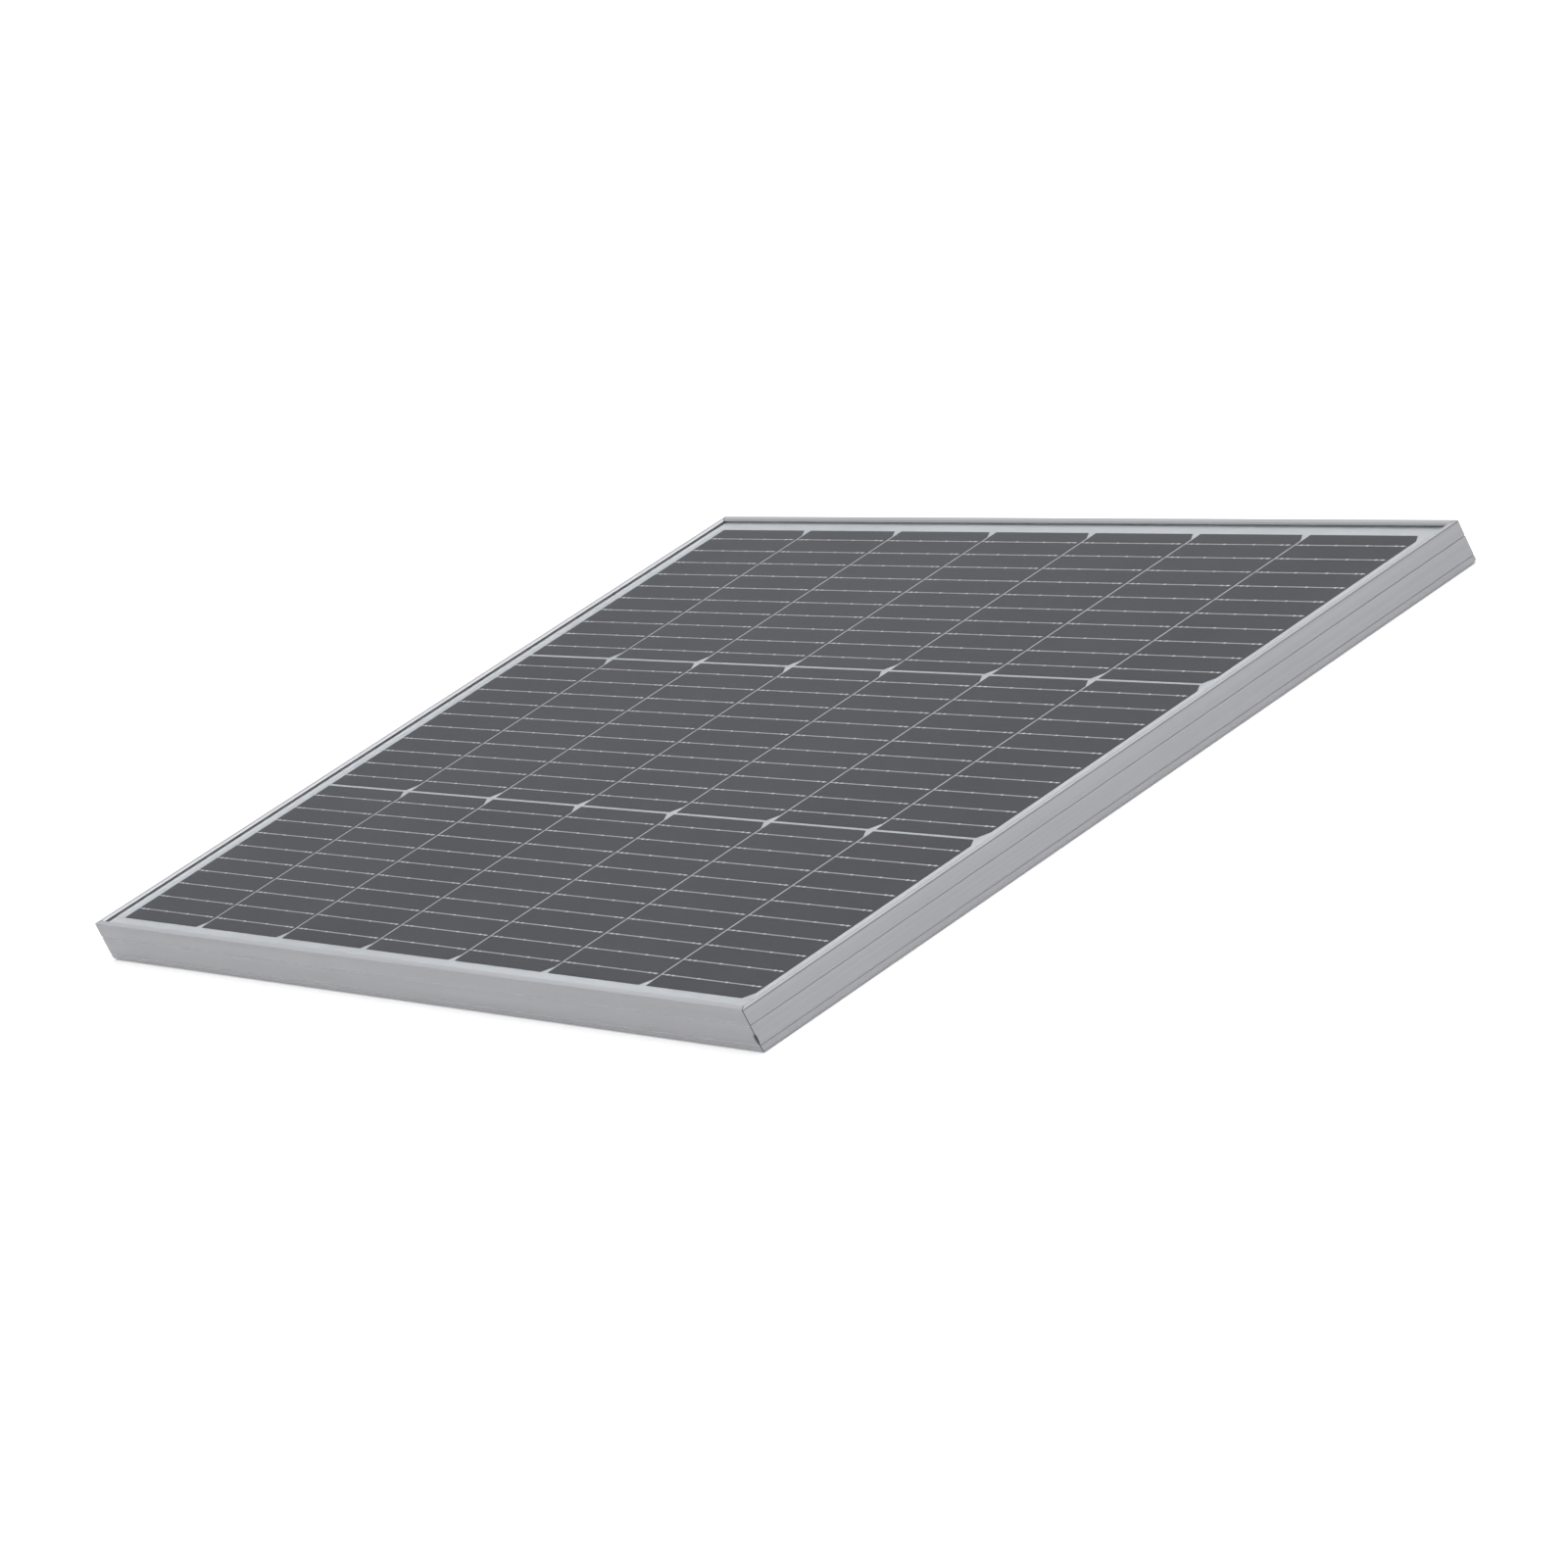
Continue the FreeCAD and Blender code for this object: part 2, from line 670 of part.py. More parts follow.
def link_foil_middle_front():
    """Joins the middle row's right strip to the front row's left strip, behind the middle row."""
    line = row_centre("middle") - link_line
    start = row_centre("middle") - bus_half
    end = row_centre("front") + bus_half
    low, high = line - foil_width / 2, line + foil_width / 2
    legs = [
        foil_leg(-bus_outer, low, bus_outer, high),
        foil_riser(bus_inner, start, bus_outer, start + foil_tab),
        foil_leg(-bus_outer, end - foil_tab, -bus_inner, high),
        foil_riser(-bus_outer, end - foil_tab, -bus_inner, end),
    ]
    return node(joined(legs), "link_foil_middle_front")


def link_foil_front_back():
    """Joins the front row's right strip to the back row's left strip, round the outside."""
    line = row_centre("back") + link_line
    start = row_centre("front") + bus_half
    end = row_centre("back") + bus_half
    low, high = line - foil_width / 2, line + foil_width / 2
    legs = [
        foil_riser(bus_inner, start - foil_tab, bus_outer, start),
        foil_leg(bus_inner, start - foil_tab, around_outer, start),
        foil_leg(around_inner, start - foil_tab, around_outer, high),
        foil_leg(-bus_outer, low, around_outer, high),
        foil_leg(-bus_outer, end - foil_tab, -bus_inner, high),
        foil_riser(-bus_outer, end - foil_tab, -bus_inner, end),
    ]
    return node(joined(legs), "link_foil_front_back")


def foil_into_box(y):
    """The end of a lead foil: down through the slit and along under the terminal's tongue."""
    x = box_x + slit_x
    half = foil_width / 2
    tongue_under = rim + cavity_top - tongue_thickness
    low = tongue_under - foil_thickness
    thick = foil_thickness / 2
    return [
        box(x - thick, y - half, low, x + thick, y + half, foil_top),
        box(x - thick, y - half, low, box_x + tongue_tip + solder_length, y + half, tongue_under),
    ]


def lead_foil_negative():
    """Runs straight from the middle row's left strip to the box."""
    y = -gland_spacing / 2
    half = foil_width / 2
    legs = [
        foil_riser(-bus_outer, y - half, -bus_inner, y + half),
        foil_leg(-bus_outer, y - half, box_x + slit_x + foil_thickness / 2, y + half),
    ]
    return node(joined(legs + foil_into_box(y)), "lead_foil_negative")


def lead_foil_positive():
    """Runs from the back row's right strip along the panel and in to the box."""
    y = gland_spacing / 2
    half = foil_width / 2
    line = row_centre("back") - link_line
    start = row_centre("back") - bus_half
    legs = [
        foil_riser(bus_inner, start, bus_outer, start + foil_tab),
        foil_leg(bus_inner, line - half, bus_outer, start + foil_tab),
        foil_leg(turn_x - half, line - half, bus_outer, line + half),
        foil_leg(turn_x - half, y - half, turn_x + half, line + half),
        foil_leg(turn_x - half, y - half, box_x + slit_x + foil_thickness / 2, y + half),
    ]
    return node(joined(legs + foil_into_box(y)), "lead_foil_positive")


def foil_insulation():
    """White strips that keep the foils off the cells and out of sight in the gaps."""
    half = foil_width / 2 + strip_margin
    top = foil_top + strip_thickness
    reach = grid_right + bus_offset / 2
    lines = (
        row_centre("middle") - link_line,
        row_centre("back") + link_line,
        row_centre("back") - link_line,
    )
    strips = [box(-reach, y - half, foil_top, reach, y + half, top) for y in lines]
    strips.append(box(turn_x - half, row_centre("middle"), foil_top, turn_x + half, lines[2] + half, top))
    return node(joined(strips), "foil_insulation")


def bus_cover(side):
    """White film over the bus strips of one side."""
    low = row_centre(ROWS[0]) - cell_width / 2
    high = row_centre(ROWS[-1]) + cell_width / 2
    inner = grid_right + cover_gap
    outer = laminate_length / 2 - cover_edge
    x0, x1 = (-outer, -inner) if side == "left" else (inner, outer)
    bottom = cell_top + ribbon_thickness
    return node(box(x0, low, bottom, x1, high, bottom + cover_thickness), f"bus_cover_{side}")


def wiring():
    cells = [solar_cell(row, column) for row in ROWS for column in range(COLUMNS)]
    for row in ROWS:
        ribbons(row)
    strips = [bus_strips(side) for side in ("left", "right")]
    foils = [
        link_foil_middle_front(),
        link_foil_front_back(),
        lead_foil_negative(),
        lead_foil_positive(),
        foil_insulation(),
    ]
    covers = [bus_cover(side) for side in ("left", "right")]
    return cells, strips, foils, covers


# ---------------------------------------------------------------- laminate

def laminate_box(z0, z1, inset=0):
    half_x = laminate_length / 2 - inset
    half_y = laminate_width / 2 - inset
    return box(-half_x, -half_y, z0, half_x, half_y, z1)


def ribbon_grooves(x0, x1, z0, z1):
    """One long groove for each ribbon line, as cutting tools."""
    half = ribbon_width / 2
    lines = [y for row in ROWS for y in ribbon_lines(row)]
    return together([box(x0, y - half, z0, x1, y + half, z1) for y in lines])


def foil_slits(z0, z1):
    """The two openings that the lead foils pass through."""
    x = box_x + slit_x
    half_x, half_y = slit_length / 2, slit_width / 2
    centres = (-gland_spacing / 2, gland_spacing / 2)
    return together([box(x - half_x, y - half_y, z0, x + half_x, y + half_y, z1) for y in centres])


def laminate(cells, strips, foils, covers):
    node(laminate_box(glass_bottom, glass_top), "glass_sheet")

    right_end = cell_left(COLUMNS - 1) + cell_length - ribbon_end
    over = cell_top + ribbon_thickness
    front = cut(laminate_box(cell_top, glass_bottom), ribbon_grooves(-bus_outer, right_end, cell_top, over))
    node(cut(front, together(covers)), "front_encapsulant")

    under = cell_bottom - ribbon_thickness
    left_end = cell_left(0) + ribbon_end
    rear = cut(laminate_box(film_bottom, cell_top), ribbon_grooves(left_end, bus_outer, under, cell_top))
    rear = cut(rear, together(cells + strips))
    node(cut(rear, together(foils)), "rear_encapsulant")

    sheet_slits = foil_slits(panel_back - CUT_MARGIN, film_bottom + CUT_MARGIN)
    node(cut(laminate_box(panel_back, film_bottom), sheet_slits), "backsheet")


def edge_sealant():
    """Silicone that fills the rails' slot all round the laminate's edge."""
    half_x = panel_length / 2 - rail_wall
    half_y = panel_width / 2 - rail_wall
    whole = box(-half_x, -half_y, ledge_top, half_x, half_y, lip_under)
    above = lip_width - seal_recess - glass_inset
    below = ledge_depth - seal_recess - glass_inset
    tools = [
        laminate_box(panel_back, glass_top),
        laminate_box(panel_back, lip_under + CUT_MARGIN, above),
        laminate_box(ledge_top - CUT_MARGIN, glass_top, below),
    ]
    return node(cut(whole, joined(tools)), "edge_sealant")


# ---------------------------------------------------------------- junction box

def plan_rectangle(drawing, inset=0):
    half_x = wall_out - inset
    half_y = box_width / 2 - inset
    drawing.rectangle(-half_x, -half_y, half_x, half_y)


UPRIGHT = FreeCAD.Vector(0, 0, 1)


def is_box_corner(point):
    return near(abs(point.x), wall_out) and near(abs(point.y), box_width / 2)


def junction_base():
    """Open box with its rim down, a spout for each cable and two hinge lugs. Its own Z is 0 at the rim."""
    body = new_body("junction_base")
    outline = draw(body, "XY_Plane")
    plan_rectangle(outline)
    block = pad(body, outline, box_height)
    fillet(body, block, box_corner, UPRIGHT, is_box_corner)

    spouts = draw(body, "YZ_Plane", wall_out - box_wall / 2)
    bores = draw(body, "YZ_Plane", wall_out - box_wall - CUT_MARGIN)
    for side in (-1, 1):
        spouts.circle(side * gland_spacing / 2, gland_height, spout_radius)
        bores.circle(side * gland_spacing / 2, gland_height, spout_bore)
    pad(body, spouts, box_wall / 2 + spout_length)

    lugs = draw(body, "XZ_Plane")
    root = -(wall_out - box_wall / 4)
    lugs.polygon([
        (hinge_x, hinge_z),
        (-wall_out, hinge_z),
        (-wall_out, 0),
        (root, 0),
        (root, gusset_height),
        (-wall_out, gusset_height),
        (hinge_x - knuckle_radius, knuckle_radius),
        (hinge_x - knuckle_radius, hinge_z),
    ])
    barrel = draw(body, "XZ_Plane")
    barrel.circle(hinge_x, hinge_z, knuckle_radius)
    pad(body, lugs, hinge_span, symmetric=True)
    pad(body, barrel, hinge_span, symmetric=True)
    gap = draw(body, "XZ_Plane")
    gap.rectangle(
        hinge_x - knuckle_radius - CUT_MARGIN,
        hinge_z - knuckle_radius - CUT_MARGIN,
        -wall_out,
        hinge_z + gusset_height + CUT_MARGIN,
    )
    pocket(body, gap, knuckle_length + 2 * knuckle_gap, symmetric=True)
    pin_hole = draw(body, "XZ_Plane")
    pin_hole.circle(hinge_x, hinge_z, hinge_pin_radius)
    pocket(body, pin_hole, hinge_span + CUT_MARGIN, symmetric=True)

    cavity = draw(body, "XY_Plane")
    plan_rectangle(cavity, box_wall)
    pocket(body, cavity, cavity_top)
    pocket(body, bores, box_wall + spout_length + 2 * CUT_MARGIN)
    groove = draw(body, "XY_Plane")
    gasket_plan(groove)
    pocket(body, groove, gasket_depth)
    slits = draw(body, "XY_Plane")
    for side in (-1, 1):
        y = side * gland_spacing / 2
        slits.rectangle(
            slit_x - slit_length / 2, y - slit_width / 2, slit_x + slit_length / 2, y + slit_width / 2
        )
    pocket(body, slits, box_height + CUT_MARGIN)
    place(body, box_x, 0, rim)
    return node(body, body.Label)


def gasket_plan(drawing):
    plan_rectangle(drawing, (box_wall - gasket_width) / 2)
    plan_rectangle(drawing, (box_wall + gasket_width) / 2)


def lid_gasket():
    body = new_body("lid_gasket")
    ring = draw(body, "XY_Plane")
    gasket_plan(ring)
    pad(body, ring, gasket_depth + lid_gap)
    place(body, box_x, 0, rim - lid_gap)
    return node(body, body.Label)


def junction_lid():
    """Plate under the rim, with a hinge knuckle on its left and a finger tab on its right."""
    body = new_body("junction_lid")
    plate = draw(body, "XY_Plane", -(lid_gap + lid_thickness))
    plan_rectangle(plate)
    block = pad(body, plate, lid_thickness)
    fillet(body, block, box_corner, UPRIGHT, is_box_corner)

    web = draw(body, "XZ_Plane")
    web.rectangle(hinge_x, hinge_z - lid_thickness, -(wall_out - box_wall), hinge_z)
    pad(body, web, knuckle_length, symmetric=True)
    knuckle = draw(body, "XZ_Plane")
    knuckle.circle(hinge_x, hinge_z, knuckle_radius)
    pad(body, knuckle, knuckle_length, symmetric=True)

    tab = draw(body, "XZ_Plane")
    face = wall_out + tab_gap
    tab.polygon([
        (wall_out - box_wall, hinge_z - lid_thickness),
        (face + tab_thickness, hinge_z - lid_thickness),
        (face + tab_thickness, tab_height),
        (face, tab_height),
        (face, hinge_z),
        (wall_out - box_wall, hinge_z),
    ])
    pad(body, tab, tab_width, symmetric=True)

    pin_hole = draw(body, "XZ_Plane")
    pin_hole.circle(hinge_x, hinge_z, hinge_pin_radius + hinge_clearance)
    pocket(body, pin_hole, knuckle_length + CUT_MARGIN, symmetric=True)
    panel = draw(body, "XY_Plane", -(lid_gap + lid_thickness))
    plan_rectangle(panel, lid_border)
    pocket(body, panel, lid_recess)
    place(body, box_x, 0, rim)
    return node(body, body.Label)


def hinge_pin():
    start = -hinge_span / 2
    return node(
        rod(hinge_pin_radius, hinge_span, box_x + hinge_x, start, rim + hinge_z, *ALONG_Y), "lid_hinge_pin"
    )


def terminal(label, y):
    """Brass clamp block: wire hole facing its cable entry, screw from below, solder tongue behind."""
    left = box_x + terminal_x - terminal_length / 2
    right = left + terminal_length
    top = rim + cavity_top
    bottom = top - terminal_height
    half = terminal_width / 2
    axis = rim + gland_height
    block = box(left, y - half, bottom, right, y + half, top)
    tongue = box(
        left - tongue_length,
        y - tongue_width / 2,
        top - tongue_thickness,
        left + tongue_thickness,
        y + tongue_width / 2,
        top,
    )
    holes = [
        rod(wire_radius, wire_depth + CUT_MARGIN, right - wire_depth, y, axis, *ALONG_X),
        rod(screw_radius, axis - bottom + CUT_MARGIN, box_x + terminal_x, y, bottom - CUT_MARGIN),
        rod(lead_radius, 2 * terminal_width, diode_x, y - terminal_width, rim + diode_height, *ALONG_Y),
    ]
    return node(cut(joined([block, tongue]), joined(holes)), label)


def terminal_screws():
    """Two slotted screws, each reaching to the wire hole's near wall."""
    screws = []
    bottom = rim + cavity_top - terminal_height
    shank = gland_height - wire_radius - cavity_top + terminal_height
    x = box_x + terminal_x
    for side in (-1, 1):
        y = side * gland_spacing / 2
        low = bottom - screw_head_height
        body = joined([
            rod(screw_head_radius, screw_head_height, x, y, low),
            rod(screw_radius, screw_head_height + shank, x, y, low),
        ])
        half = driver_width / 2
        reach = screw_head_radius + CUT_MARGIN
        slot = box(x - reach, y - half, low - CUT_MARGIN, x + reach, y + half, low + driver_depth)
        screws.append(cut(body, slot))
    return node(together(screws), "terminal_screws")


def bypass_diode():
    """Barrel diode across the two terminals."""
    reach = gland_spacing / 2 - terminal_width / 2 + lead_grip
    barrel = rod(diode_radius, diode_length, diode_x, -diode_length / 2, rim + diode_height, *ALONG_Y)
    lead = rod(lead_radius, 2 * reach, diode_x, -reach, rim + diode_height, *ALONG_Y)
    return node(joined([barrel, lead]), "bypass_diode")


def gland_seal(label, y):
    """Rubber sleeve inside a spout, with its end flush with the spout's end."""
    end = box_x + wall_out + spout_length
    z = rim + gland_height
    sleeve = rod(spout_bore, seal_length, end - seal_length, y, z, *ALONG_X)
    hole = rod(seal_bore, 3 * seal_length, end - 2 * seal_length, y, z, *ALONG_X)
    return node(cut(sleeve, hole), label)


def gland_nut(label, y):
    """Hexagonal cap nut that screws over a spout and presses its seal."""
    body = new_body(label)
    corner = nut_flats / math.sqrt(3)
    hexagon = draw(body, "YZ_Plane")
    hexagon.polygon([
        (corner * math.cos(math.radians(60 * k)), corner * math.sin(math.radians(60 * k)))
        for k in range(6)
    ])
    length = spout_length + nut_wall - nut_start
    pad(body, hexagon, length)
    thread = draw(body, "YZ_Plane")
    thread.circle(0, 0, spout_radius + nut_clearance)
    pocket(body, thread, length - nut_wall)
    hole = draw(body, "YZ_Plane")
    hole.circle(0, 0, nut_hole)
    pocket(body, hole, length + CUT_MARGIN)
    place(body, box_x + wall_out + nut_start, y, rim + gland_height)
    return node(body, label)


def junction_box():
    half_x = wall_out - pad_inset
    half_y = box_width / 2 - pad_inset
    adhesive = box(box_x - half_x, -half_y, box_top, box_x + half_x, half_y, panel_back)
    slits = foil_slits(box_top - CUT_MARGIN, panel_back + CUT_MARGIN)
    node(cut(adhesive, slits), "junction_adhesive")
    junction_base()
    junction_lid()
    lid_gasket()
    hinge_pin()
    for name, side in (("negative", -1), ("positive", 1)):
        y = side * gland_spacing / 2
        terminal(f"terminal_{name}", y)
        gland_seal(f"gland_seal_{name}", y)
        gland_nut(f"gland_nut_{name}", y)
    terminal_screws()
    bypass_diode()


# ---------------------------------------------------------------- build, check and write

frame()
laminate(*wiring())
edge_sealant()
junction_box()
doc.recompute()

for thing in doc.Objects:
    if "Invalid" in thing.State or "Error" in thing.State:
        raise RuntimeError(f"{thing.Name} ({thing.Label}) failed: {thing.State}")

os.makedirs("parts", exist_ok=True)
for thing in nodes:
    shape = thing.Shape
    if shape.isNull() or not shape.isValid():
        raise RuntimeError(f"{thing.Label} has no valid shape")
    shape.exportStep(f"parts/{thing.Label}.step")
    print(f"{thing.Label}: {len(shape.Solids)} solid(s), {shape.Volume:.1f} mm3")
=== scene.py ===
import math

import bmesh
import bpy
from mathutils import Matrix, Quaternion, Vector


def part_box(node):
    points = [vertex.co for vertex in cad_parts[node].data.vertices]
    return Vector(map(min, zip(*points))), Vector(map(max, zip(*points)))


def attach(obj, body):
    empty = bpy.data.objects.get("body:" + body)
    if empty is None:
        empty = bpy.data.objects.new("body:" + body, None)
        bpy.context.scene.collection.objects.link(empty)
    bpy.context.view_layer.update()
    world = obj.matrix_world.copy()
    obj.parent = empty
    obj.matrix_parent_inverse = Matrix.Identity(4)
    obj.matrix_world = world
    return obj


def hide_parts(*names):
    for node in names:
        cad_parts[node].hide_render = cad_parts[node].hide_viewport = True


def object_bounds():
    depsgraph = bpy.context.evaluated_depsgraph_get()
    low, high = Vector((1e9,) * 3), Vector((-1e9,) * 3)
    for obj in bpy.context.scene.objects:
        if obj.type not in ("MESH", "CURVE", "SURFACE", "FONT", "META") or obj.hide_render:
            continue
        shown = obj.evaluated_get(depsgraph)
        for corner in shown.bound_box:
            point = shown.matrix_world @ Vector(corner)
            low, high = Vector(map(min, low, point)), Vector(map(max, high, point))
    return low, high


# A framed glass solar panel lying face up on a white floor. Metres, in the frame of the CAD part.

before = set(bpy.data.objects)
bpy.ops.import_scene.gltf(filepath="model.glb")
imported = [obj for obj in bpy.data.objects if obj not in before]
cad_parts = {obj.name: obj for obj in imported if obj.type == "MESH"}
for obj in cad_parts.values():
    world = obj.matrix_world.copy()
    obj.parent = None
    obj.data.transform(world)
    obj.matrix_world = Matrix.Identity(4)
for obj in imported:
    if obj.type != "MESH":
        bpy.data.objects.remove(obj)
rest_low, rest_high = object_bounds()

MM = 0.001
ROWS = ("front", "middle", "back")
COLUMNS = range(1, 8)
RIBBONS = 10
SIDES = ("negative", "positive")


# ---------------------------------------------------------------- material helpers

class Finish:
    """A material with a Principled shader and the textures that drive it."""

    def __init__(self, name, color, roughness, metallic=0.0, specular=0.5):
        self.material = bpy.data.materials.new(name)
        self.material.use_nodes = True
        self.tree = self.material.node_tree
        self.shader = self.tree.nodes["Principled BSDF"]
        self.set("Base Color", (*color, 1))
        self.set("Roughness", roughness)
        self.set("Metallic", metallic)
        self.set("Specular IOR Level", specular)
        self.where = self.tree.nodes.new("ShaderNodeTexCoord").outputs["Object"]

    def set(self, socket, value):
        self.shader.inputs[socket].default_value = value

    def drive(self, socket, source):
        self.tree.links.new(source, self.shader.inputs[socket])

    def node(self, kind, inputs=(), **settings):
        made = self.tree.nodes.new(kind)
        for name, value in settings.items():
            setattr(made, name, value)
        for socket, value in dict(inputs).items():
            if isinstance(value, bpy.types.NodeSocket):
                self.tree.links.new(value, made.inputs[socket])
            else:
                made.inputs[socket].default_value = value
        return made

    def stretched(self, scale):
        return self.node("ShaderNodeMapping", {"Vector": self.where, "Scale": scale}).outputs["Vector"]

    def noise(self, scale, detail=3.0, stretch=None):
        vector = self.stretched(stretch) if stretch else self.where
        made = self.node("ShaderNodeTexNoise", {"Vector": vector, "Scale": scale, "Detail": detail})
        return made.outputs["Fac"]

    def spread(self, source, low, high, start=0.3, stop=0.7):
        """Stretches the middle of a 0 to 1 value over low to high."""
        ends = {"Value": source, "From Min": start, "From Max": stop, "To Min": low, "To Max": high}
        return self.node("ShaderNodeMapRange", ends).outputs["Result"]

    def calc(self, operation, first, second=0.0):
        return self.node("ShaderNodeMath", {0: first, 1: second}, operation=operation).outputs[0]

    def tint(self, share, dark, light):
        mixed = self.node("ShaderNodeMix", {0: share}, data_type="RGBA")
        for socket, value in ((mixed.inputs[6], dark), (mixed.inputs[7], light)):
            if isinstance(value, bpy.types.NodeSocket):
                self.tree.links.new(value, socket)
            else:
                socket.default_value = (*value, 1)
        return mixed.outputs[2]

    def bump(self, height, distance, strength=1.0):
        made = self.node("ShaderNodeBump", {"Height": height, "Distance": distance, "Strength": strength})
        self.drive("Normal", made.outputs["Normal"])


def brushed_metal(name, along, dark, light, roughness, metallic, fine=900.0):
    """Drawn metal with lines that run along one axis, 0 for X and 1 for Y."""
    finish = Finish(name, light, roughness, metallic)
    long_way, short_way = 2.5, 1.0
    lines = tuple(long_way if k == along else fine for k in range(3))
    bands = tuple(short_way if k == along else fine / 5 for k in range(3))
    brush = finish.noise(1.0, 4.0, lines)
    die_lines = finish.noise(1.0, 2.0, bands)
    blotches = finish.noise(18.0, 3.0)
    share = finish.calc("MULTIPLY", finish.spread(brush, 0.55, 1.0), finish.spread(die_lines, 0.7, 1.0))
    share = finish.calc("MULTIPLY", share, finish.spread(blotches, 0.85, 1.05))
    finish.drive("Base Color", finish.tint(share, dark, light))
    finish.drive("Roughness", finish.spread(brush, roughness - 0.08, roughness + 0.1))
    finish.bump(finish.calc("ADD", brush, die_lines), 0.000015)
    return finish


def moulded(name, dark, light, roughness, grain=2200.0, depth=0.00003, specular=0.4):
    """Moulded plastic or rubber with a fine spark-eroded grain and a little dust."""
    finish = Finish(name, light, roughness, specular=specular)
    texture = finish.noise(grain, 3.0)
    clouds = finish.noise(30.0, 4.0)
    finish.drive("Base Color", finish.tint(finish.spread(clouds, 0.0, 1.0), dark, light))
    finish.drive("Roughness", finish.spread(clouds, roughness - 0.06, roughness + 0.08))
    finish.bump(texture, depth)
    return finish


def white_sheet(name, dark, light, roughness, weave):
    """White polymer sheet with a faint weave pressed into it by the laminator."""
    finish = Finish(name, light, roughness, specular=0.3)
    tone = finish.noise(9.0, 4.0)
    emboss = finish.node(
        "ShaderNodeTexVoronoi", {"Vector": finish.where, "Scale": weave}, feature="F1"
    ).outputs["Distance"]
    finish.drive("Base Color", finish.tint(finish.spread(tone, 0.0, 1.0), dark, light))
    finish.drive("Roughness", finish.spread(tone, roughness - 0.05, roughness + 0.05))
    finish.bump(emboss, 0.00003, 0.5)
    return finish


# ---------------------------------------------------------------- materials

ANODISED_DARK = (0.30, 0.302, 0.313)
ANODISED_LIGHT = (0.40, 0.402, 0.417)
# Painted highlight: the upward faces at the top of the lip are painted lighter than the sides, standing in
# for light from above.
LIP_TOP_PAINTED_LIGHT = (0.49, 0.492, 0.51)
# Painted shade: the mitre end faces are painted near black to stand in for the shade in the mitre gap.
MITRE_PAINTED_SHADE = (0.012, 0.012, 0.012)
BURR = (0.06, 0.06, 0.065)
# Painted light in the front and back rails' grooves, to hide the shading in them.
GROOVE_PAINTED_LIGHT = (0.66, 0.66, 0.67)
# Painted shade in the side rails' grooves, deepening the shading in them.
GROOVE_PAINTED_SHADE = (0.34, 0.34, 0.35)
# Painted shade: a dark line just under the side rails' top edge, where the rounded edge catches no light.
TOP_EDGE_PAINTED_SHADE = (0.22, 0.22, 0.225)
WHITE_DARK = (0.44, 0.455, 0.475)
WHITE_LIGHT = (0.485, 0.50, 0.525)

# Heights of the painted lines along a rail: painted light in the front and back rails' grooves, painted shade
# in the side rails' grooves and painted shade just under the side rails' top edge
LOW_GROOVE = 5.0 * MM
HIGH_GROOVE = rest_high.z - 11.2 * MM
TOP_LINE = rest_high.z - 0.8 * MM


def burr_share(finish):
    """1 in a dark spot low down on the front right mitre, where the rails were nicked, and 0 away from it."""
    centre = Vector((rest_high.x, rest_low.y, 9.6 * MM))
    half_size = Vector((3.2, 1.0, 3.8)) * MM
    from_centre = finish.node(
        "ShaderNodeMapping",
        {
            "Vector": finish.where,
            "Location": tuple(-c / h for c, h in zip(centre, half_size)),
            "Scale": tuple(1 / h for h in half_size),
        },
    ).outputs["Vector"]
    apart = finish.node("ShaderNodeVectorMath", {0: from_centre}, operation="LENGTH").outputs["Value"]
    ragged = finish.calc("ADD", apart, finish.noise(900.0))
    return finish.spread(ragged, 1.0, 0.0, 1.2, 1.6)


def anodised(name, along, shade, lines):
    """Clear anodised rail, its tone scaled by shade as painted shade, with the given lines of painted light
    and painted shade as pairs of height and tone.

    The top of the lip is painted lighter as a painted highlight, and the mitre end faces, cut at 45 degrees
    to both sides, are painted near black as painted shade for the mitre gap.
    """
    # shade scales the rail's whole tone as painted shade: 0.9 darkens the front and back rails for the light
    # that falls on them.
    dark, light = (tuple(shade * part for part in tone) for tone in (ANODISED_DARK, ANODISED_LIGHT))
    finish = brushed_metal(name, along, dark, light, roughness=0.45, metallic=0.35)
    surface = finish.shader.inputs["Base Color"].links[0].from_socket
    height = finish.node("ShaderNodeSeparateXYZ", {"Vector": finish.where}).outputs["Z"]
    half_line = 0.45 * MM
    # Each line paints a band of its tone across the rail at its height: painted light in the front and back
    # rails' grooves, painted shade in the side rails' grooves and under their top edge.
    for level, tone in lines:
        off = finish.calc("ABSOLUTE", finish.calc("SUBTRACT", height, level))
        surface = finish.tint(finish.calc("LESS_THAN", off, half_line), surface, tone)
    normal = finish.node("ShaderNodeNewGeometry").outputs["True Normal"]
    facing = finish.node("ShaderNodeSeparateXYZ", {"Vector": normal})
    looks_up = finish.calc("GREATER_THAN", facing.outputs["Z"], 0.3)
    at_top = finish.calc("GREATER_THAN", height, rest_high.z - 2 * MM)
    # Painted highlight: the top of the lip is painted lighter than the rail sides.
    surface = finish.tint(finish.calc("MULTIPLY", looks_up, at_top), surface, LIP_TOP_PAINTED_LIGHT)
    surface = finish.tint(burr_share(finish), surface, BURR)
    # Painted shade: faces at 45 degrees to both sides, the mitre end faces, are painted near black for the
    # shade in the mitre gap.
    both = finish.calc("ABSOLUTE", finish.calc("MULTIPLY", facing.outputs["X"], facing.outputs["Y"]))
    mitre_shade_mask = finish.calc("GREATER_THAN", both, 0.3)
    finish.drive("Base Color", finish.tint(mitre_shade_mask, surface, MITRE_PAINTED_SHADE))
    return finish


